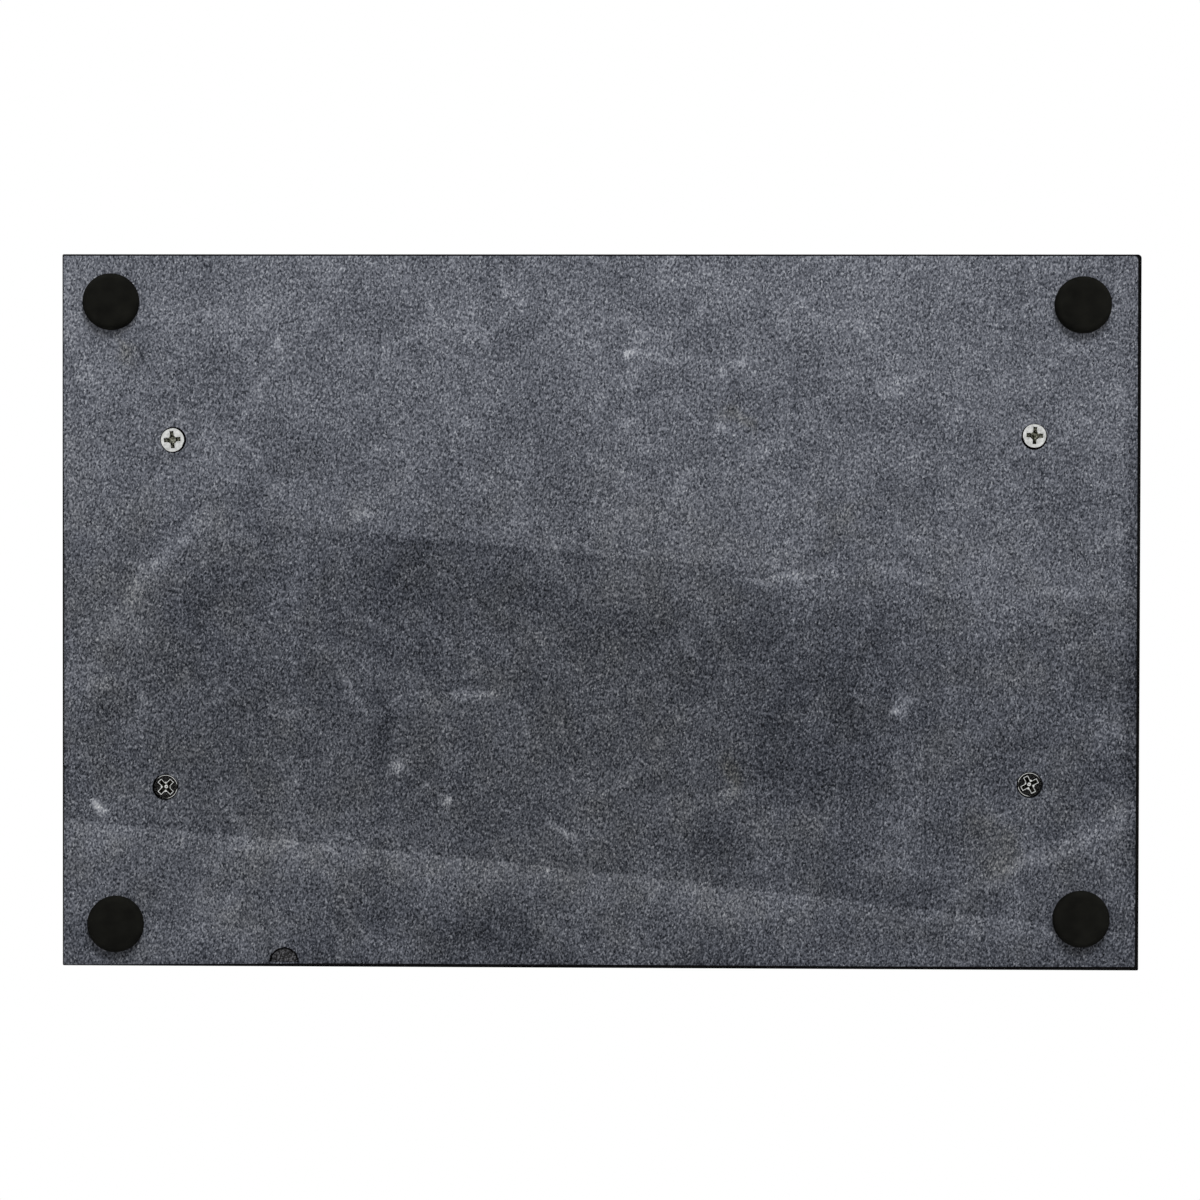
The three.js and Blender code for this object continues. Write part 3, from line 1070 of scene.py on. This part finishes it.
# %% Polished black marble for the top and the edges
POLISHED_GREYS = [(0.0, "050506"), (0.25, "0c0d0f"), (0.5, "26282c"), (1.0, "9a9ca2")]
DARKEST = 0.02
CLOUD_SHARE = 0.3
NET_SIZE = 120 * MM
NET_WIDTH = 0.012
NET_SHARE = 0.3


def polished_marks(marks, narrower, brighter):
    """The same marks, as polish shows them."""
    changed = []
    for x, y, length, width, turn, strength in marks:
        changed.append((x, y, length, narrower * width, turn, brighter * strength))
    return changed


polished_stone, tree, shader, place = new_material("polished_black_marble")
swayed = wandering(tree, place, VEIN_WANDER)
slow = {"Vector": place, "Scale": 1 / CLOUD_SIZE, "Detail": 6.0, "Roughness": 0.6}
clouds = add_node(tree, "TexNoise", slow)[0]
tone = add_node(tree, "Math", {0: clouds, 1: CLOUD_SHARE, 2: DARKEST}, operation="MULTIPLY_ADD")[0]
tone = add_marks(tree, swayed, polished_marks(VEINS, narrower=0.6, brighter=7), tone)
tone = add_marks(tree, swayed, polished_marks(FLECKS, narrower=1, brighter=2), tone)
tone = add_threads(tree, swayed, NET_SIZE, NET_WIDTH, NET_SHARE, tone)
greys = add_node(tree, "ValToRGB", {0: tone}, stops=POLISHED_GREYS)["Color"]
haze = add_node(tree, "MapRange", {"Value": clouds, "To Min": 0.08, "To Max": 0.2})[0]
set_inputs(tree, shader, {"Base Color": greys, "Roughness": haze, "IOR": 1.5})
print("polished stone:", len(polished_stone.node_tree.nodes), "nodes")

# %% [markdown]
# Where the flake came off, the stone was neither honed nor polished. A fresh break is dark and rough. The
# lower arrises were eased by hand with a block and wiped with wax, which leaves them dull and black.

# %% Broken and eased black marble
broken_stone, tree, shader, place = new_material("broken_black_marble")
facets = add_node(tree, "TexVoronoi", {"Vector": place, "Scale": 1 / CRYSTAL})["Color"]
facet = add_node(tree, "SeparateColor", {0: facets})[0]
stops = [(0.0, "0c0c0e"), (0.5, "363638"), (1.0, "707074")]
greys = add_node(tree, "ValToRGB", {0: facet}, stops)["Color"]
bump = add_node(tree, "Bump", {"Height": facet, "Strength": 0.8, "Distance": 0.2 * MM})[0]
look = {"Base Color": greys, "Normal": bump, "Roughness": 0.7, "Specular IOR Level": 0.2}
set_inputs(tree, shader, look)

eased_stone, tree, shader, place = new_material("eased_black_marble")
rubbed = add_node(tree, "TexNoise", {"Vector": place, "Scale": 1 / CRYSTAL, "Detail": 2.0})[0]
stops = [(0.3, "030304"), (0.7, "0d0d0e")]
greys = add_node(tree, "ValToRGB", {0: rubbed}, stops)["Color"]
set_inputs(tree, shader, {"Base Color": greys, "Roughness": 0.5, "Specular IOR Level": 0.08})
print("dark finishes:", broken_stone.name, "and", eased_stone.name)

# %% Give each face of the slab its finish
HONED, POLISHED, BROKEN, EASED = range(4)
CHIP_FLOOR_TILT = -0.78
ARRIS_TILT = -0.3


def fit_to_frame(piece, node):
    """Let a finished piece stand for its measured node."""
    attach(piece, "root")
    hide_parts(node)
    size = piece.dimensions / MM
    print(f"{node}: {size.x:.1f} x {size.y:.1f} x {size.z:.1f} mm, {len(piece.data.polygons)} faces")


for finish in (honed_stone, polished_stone, broken_stone, eased_stone):
    slab.data.materials.append(finish)
chip_middle = Vector((CHIP_X, slab_high.y - CHIP_FROM_EDGE))
for face in slab.data.polygons:
    is_low = face.center.z < underside + CHIP_DEPTH + CHIP_RAGGED
    is_in_chip = (face.center.xy - chip_middle).length < CHIP_RADIUS
    if faces_down(face) and face.center.z < underside + SLACK:
        face.material_index = HONED
    elif is_low and is_in_chip and face.normal.z < CHIP_FLOOR_TILT:
        face.material_index = BROKEN
    elif is_low and face.normal.z < ARRIS_TILT:
        face.material_index = EASED
    else:
        face.material_index = POLISHED
fit_to_frame(slab, "marble_slab")

# %% [markdown]
# ## Rubber, foam and nylon
#
# Moulded rubber is nearly black and quite dull. Its skin has a fine grain from the mould, and handling
# leaves it a little uneven. The adhesive is a dark foam with open cells, and the washers are natural nylon,
# a milky off-white that is smooth but not glossy. The real grain of the mould is about a tenth of a
# millimetre, too fine to show in the picture, so it is drawn coarser, and so are the cells of the foam.

# %% Moulded black rubber
RUBBER_GRAIN = 0.5 * MM
RUBBER_PATCH = 6 * MM


def dress(pieces, material):
    """Give pieces their material, and let each stand for its measured node."""
    for node, piece in pieces.items():
        piece.data.materials.append(material)
        fit_to_frame(piece, node)


rubber, tree, shader, place = new_material("moulded_black_rubber")
skin = add_node(tree, "TexNoise", {"Vector": place, "Scale": 1 / RUBBER_GRAIN, "Detail": 3.0})[0]
patch = add_node(tree, "TexNoise", {"Vector": place, "Scale": 1 / RUBBER_PATCH, "Detail": 3.0})[0]
tone = add_node(tree, "ValToRGB", {0: patch}, [(0.3, "121210"), (0.7, "1a1a17")])["Color"]
bump = add_node(tree, "Bump", {"Height": skin, "Strength": 0.3, "Distance": 0.06 * MM})[0]
look = {"Base Color": tone, "Normal": bump, "Roughness": 0.85, "IOR": 1.45, "Specular IOR Level": 0.05}
set_inputs(tree, shader, look)
dress(rubber_feet, rubber)

# %% Adhesive foam
FOAM_CELL = 0.35 * MM

foam, tree, shader, place = new_material("adhesive_foam")
cells = add_node(tree, "TexVoronoi", {"Vector": place, "Scale": 1 / FOAM_CELL})["Distance"]
tone = add_node(tree, "ValToRGB", {0: cells}, [(0.1, "141414"), (0.8, "242424")])["Color"]
bump = add_node(tree, "Bump", {"Height": cells, "Strength": 0.5, "Distance": 0.1 * MM})[0]
set_inputs(tree, shader, {"Base Color": tone, "Normal": bump, "Roughness": 0.95})
dress(adhesive_discs, foam)

# %% Natural nylon
NYLON_FLOW = 3 * MM

nylon, tree, shader, place = new_material("natural_nylon")
flow = add_node(tree, "TexNoise", {"Vector": place, "Scale": 1 / NYLON_FLOW, "Detail": 3.0})[0]
tone = add_node(tree, "ValToRGB", {0: flow}, [(0.3, "cfcabc"), (0.7, "ded9cc")])["Color"]
set_inputs(tree, shader, {"Base Color": tone, "Roughness": 0.5, "IOR": 1.53})
dress(washers, nylon)

# %% [markdown]
# ## Nickel plate and satin brass
#
# The screws are steel with a thin, bright nickel plate: a slightly warm silver with fine scratches. The
# handles are brass, brushed along the bar to a satin finish. Handling leaves brown shadows on brass, so a
# slow noise darkens it in patches, and a fine one, drawn out along the bar, is the brushing. Real scratches
# and brush lines are under a tenth of a millimetre wide, too fine to show in the picture, so both are drawn
# coarser.

# %% Nickel-plated steel
SCRATCH = 0.25 * MM
BLUSH = 1.2 * MM

nickel, tree, shader, place = new_material("nickel_plated_steel")
fine = {"Vector": place, "Scale": 1 / SCRATCH, "Detail": 3.0, "Distortion": 0.5}
scratches = add_node(tree, "TexNoise", fine)[0]
blush = add_node(tree, "TexNoise", {"Vector": place, "Scale": 1 / BLUSH, "Detail": 3.0})[0]
stops = [(0.3, "b2b3b1"), (0.55, "d0d1cf"), (0.75, "e0e1df")]
tone = add_node(tree, "ValToRGB", {0: blush}, stops)["Color"]
dull = add_node(tree, "MapRange", {"Value": scratches, "To Min": 0.05, "To Max": 0.16})[0]
bump = add_node(tree, "Bump", {"Height": scratches, "Strength": 0.05, "Distance": 0.02 * MM})[0]
set_inputs(tree, shader, {"Base Color": tone, "Roughness": dull, "Normal": bump, "Metallic": 1.0})
print("nickel:", len(nickel.node_tree.nodes), "nodes")

# %% [markdown]
# The crosses of the front screws, with their dished mouths, are painted a dull olive grey, darker than the
# plate, as painted shade in the recess. The back crosses, below their mouths, are painted darker still, as
# painted shade and a painted reflection of the dark cards, and the bottom of their pits keeps the bright
# plate, so that it mirrors a glint. A noise spots the painted tone with painted shade and glints.

# %% Painted shade in the cross
PAINTED_SPOT_SIZE = 0.9 * MM
# Both tone scales paint shade into the recess, and the darker back one also paints the reflection of the
# dark cards.
CROSS_TONES = {
    "front": [(0.36, "22231a"), (0.5, "6a6b5e"), (0.66, "b2b3a4")],
    "back": [(0.36, "050504"), (0.5, "161611"), (0.66, "4a4a42")],
}


def shaded_recess_steel(name, stops):
    material, tree, shader, place = new_material(name)
    painted_spots = add_node(tree, "TexNoise", {"Vector": place, "Scale": 1 / PAINTED_SPOT_SIZE, "Detail": 2.0})[0]
    tone = add_node(tree, "ValToRGB", {0: painted_spots}, stops)["Color"]
    set_inputs(tree, shader, {"Base Color": tone, "Metallic": 1.0, "Roughness": 0.42})
    return material


cross_finish = {
    "front": shaded_recess_steel("olive_shaded_recess_steel", CROSS_TONES["front"]),
    "back": shaded_recess_steel("shaded_recess_steel", CROSS_TONES["back"]),
}
dull_from = {"front": 0.0, "back": dish_depth}
for node, piece in screws.items():
    end = node.split("_")[-1]
    place = middle_of(node)
    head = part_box(node)[0].z
    piece.data.materials.append(nickel)
    piece.data.materials.append(cross_finish[end])
    for face in piece.data.polygons:
        depth = (face.center.z - head) / MM
        is_near = (face.center.xy - place.xy).length < CROSS_SPAN / 2
        is_cross = is_near and dull_from[end] < depth < pit_depth
        is_bright_pit_bottom = depth > PIT_WALL and end == "back"
        face.material_index = 1 if is_cross and not is_bright_pit_bottom else 0
    fit_to_frame(piece, node)

# %% Satin brass
BRUSH_LINE = 0.35 * MM
BRUSH_LENGTH = 30 * MM
PATINA = 18 * MM

brass, tree, shader, place = new_material("satin_brass")
stroke = {"Vector": place, "Scale": (1 / BRUSH_LINE, 1 / BRUSH_LENGTH, 1 / BRUSH_LINE)}
drawn_out = add_node(tree, "Mapping", stroke)[0]
brushing = add_node(tree, "TexNoise", {"Vector": drawn_out, "Scale": 1.0, "Detail": 3.0})[0]
patina = add_node(tree, "TexNoise", {"Vector": place, "Scale": 1 / PATINA, "Detail": 5.0})[0]
stops = [(0.25, "b3975c"), (0.55, "cfb277"), (0.8, "dcc48f")]
tone = add_node(tree, "ValToRGB", {0: patina}, stops)["Color"]
dull = add_node(tree, "MapRange", {"Value": brushing, "To Min": 0.2, "To Max": 0.42})[0]
bump = add_node(tree, "Bump", {"Height": brushing, "Strength": 0.12, "Distance": 0.05 * MM})[0]
set_inputs(tree, shader, {"Base Color": tone, "Roughness": dull, "Normal": bump, "Metallic": 1.0})
dress(posts, brass)
dress(bars, brass)

# %% [markdown]
# ## The floor
#
# The tray stands on a pale floor. The camera of the photograph lies under that floor, so the floor is a
# one-way sheet: it shows only to a camera that looks at its upper side, and everything else passes through.
# Seen from above it takes the tray's shadow as usual.

# %% Lay the floor
FLOOR_SIZE = 60.0
start_clean()
bpy.ops.mesh.primitive_grid_add(
    x_subdivisions=4, y_subdivisions=4, size=FLOOR_SIZE, location=(0, 0, -SLACK)
)
floor = bpy.context.object
floor.name = "floor"
floor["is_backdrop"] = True

floor_paint = bpy.data.materials.new("pale_floor")
floor_paint.use_nodes = True
tree = floor_paint.node_tree
tree.nodes.clear()
camera_ray = add_node(tree, "LightPath")["Is Camera Ray"]
from_below = add_node(tree, "NewGeometry")["Backfacing"]
from_above = add_node(tree, "Math", {0: 1.0, 1: from_below}, operation="SUBTRACT")[0]
open_air = add_node(tree, "BsdfTransparent")[0]
paint = add_node(tree, "BsdfDiffuse", {"Color": colour("f4f4f2")})[0]
shows = add_node(tree, "Math", {0: from_above, 1: camera_ray}, operation="MULTIPLY")[0]
one_way = add_node(tree, "MixShader", {0: shows, 1: open_air, 2: paint})[0]
add_node(tree, "OutputMaterial", {"Surface": one_way})
floor.data.materials.append(floor_paint)
print("floor:", FLOOR_SIZE, "m across")

# %% [markdown]
# ## Light
#
# A soft lamp below the tray's front lights the underside at a slant, so that each foot drops a small soft
# shadow and shows its round rim. Another hangs over the tray for the views from above. The world is white
# to the camera and to mirrors. To everything else it gives a soft fill from all round, more from above, as
# in a room with a pale ceiling. The feet keep some of it from the stone close to them, which darkens there.

# %% Lamps
def soft_lamp(name, place, size, power):
    """A round soft lamp that points at the tray."""
    start_clean()
    aim = (-Vector(place)).to_track_quat("-Z", "Y").to_euler()
    bpy.ops.object.light_add(type="AREA", location=place, rotation=aim)
    lamp = bpy.context.object
    lamp.name = name
    lamp.data.shape = "DISK"
    lamp.data.size = size
    lamp.data.energy = power
    print(f"{name}: {power} W")
    return lamp


under_lamp = soft_lamp("under_lamp", (0.3, -1.9, -1.5), size=0.9, power=47.0)
under_lamp.visible_glossy = False
soft_lamp("over_lamp", (-1.8, -2.2, 4.4), size=2.8, power=66.0)

# %% World
FILL_BELOW = 0.45
FILL_ABOVE = 0.8
HORIZON = 0.1
WHITE = (1, 1, 1, 1)

world = bpy.data.worlds.new("white_studio")
bpy.context.scene.world = world
world.use_nodes = True
tree = world.node_tree
tree.nodes.clear()
rays = add_node(tree, "LightPath")
seen = rays["Is Camera Ray"]
for ray in ("Is Glossy Ray", "Is Transmission Ray"):
    seen = add_node(tree, "Math", {0: seen, 1: rays[ray]}, operation="MAXIMUM")[0]
direction = add_node(tree, "TexCoord")["Generated"]
height = add_node(tree, "SeparateXYZ", {0: direction})["Z"]
rise = {
    "Value": height,
    "From Min": -HORIZON,
    "From Max": HORIZON,
    "To Min": FILL_BELOW,
    "To Max": FILL_ABOVE,
}
level = add_node(tree, "MapRange", rise)[0]
fill = add_node(tree, "Background", {"Color": WHITE, "Strength": level})[0]
white = add_node(tree, "Background", {"Color": WHITE, "Strength": 1.0})[0]
studio = add_node(tree, "MixShader", {0: seen, 1: fill, 2: white})[0]
add_node(tree, "OutputWorld", {"Surface": studio})
print("world fill:", FILL_BELOW, "from below,", FILL_ABOVE, "from above")

# %% [markdown]
# ## Dark cards for the mirrors
#
# Polished things need something dark to mirror, or they look flat. A photographer hangs black cards out of
# the picture for this. Here a black ring hangs low around the lens, so that slanted edges, such as the
# arrises and the screws' rims, stay dark. A paler ring over it stands for the table that the polished sides
# would mirror, and a wide grey one stands round the studio for the brass and the polished top. Two small
# black cards lie beside the lens: the two screws at the back mirror them and turn dark, and the front ones
# stay bright. Only mirrors see the cards. They neither show in the picture nor take away light.

# %% Hang the cards
SMALL_CARD = 0.28
SMALL_CARD_PLACES = {"left": (-0.348, 0.152, -1.05), "right": (0.312, 0.152, -1.05)}


def card_paper(name, hex_text):
    """Plain matt card."""
    paper = bpy.data.materials.new(name)
    paper.use_nodes = True
    matt = {"Base Color": colour(hex_text), "Roughness": 1.0, "Specular IOR Level": 0.0}
    set_inputs(paper.node_tree, paper.node_tree.nodes["Principled BSDF"], matt)
    return paper


def hang_card(card, name, paper):
    """Show a card to mirrors only."""
    card.name = name
    card.data.materials.append(paper)
    card.visible_camera = False
    card.visible_diffuse = False
    card.visible_shadow = False
    card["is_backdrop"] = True
    print("hung", name)


def card_ring(name, radius, low, high, paper):
    start_clean()
    bpy.ops.mesh.primitive_cylinder_add(
        vertices=64,
        radius=radius,
        depth=high - low,
        end_fill_type="NOTHING",
        location=(0, 0, (low + high) / 2),
    )
    hang_card(bpy.context.object, name, paper)


black_paper = card_paper("black_card", "0c0c0c")
card_ring("low_ring", radius=0.8, low=-0.95, high=-0.45, paper=black_paper)
card_ring("side_ring", radius=0.8, low=-0.45, high=-0.02, paper=card_paper("pale_card", "b4b4b0"))
card_ring("wide_ring", radius=3.0, low=0.02, high=1.5, paper=card_paper("grey_card", "6a6864"))
for side, place in SMALL_CARD_PLACES.items():
    start_clean()
    bpy.ops.mesh.primitive_grid_add(x_subdivisions=2, y_subdivisions=2, size=SMALL_CARD, location=place)
    hang_card(bpy.context.object, f"small_card_{side}", black_paper)

# %% [markdown]
# ## The picture's settings and the boxes
#
# The Standard view shows colours as they are written. The measured box and the dressed box are both
# printed. The visual model has to stay in the measured box.

# %% Finish
bpy.context.scene.view_settings.view_transform = "Standard"
start_clean()
dressed_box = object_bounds()
show_box("dressed box", dressed_box)
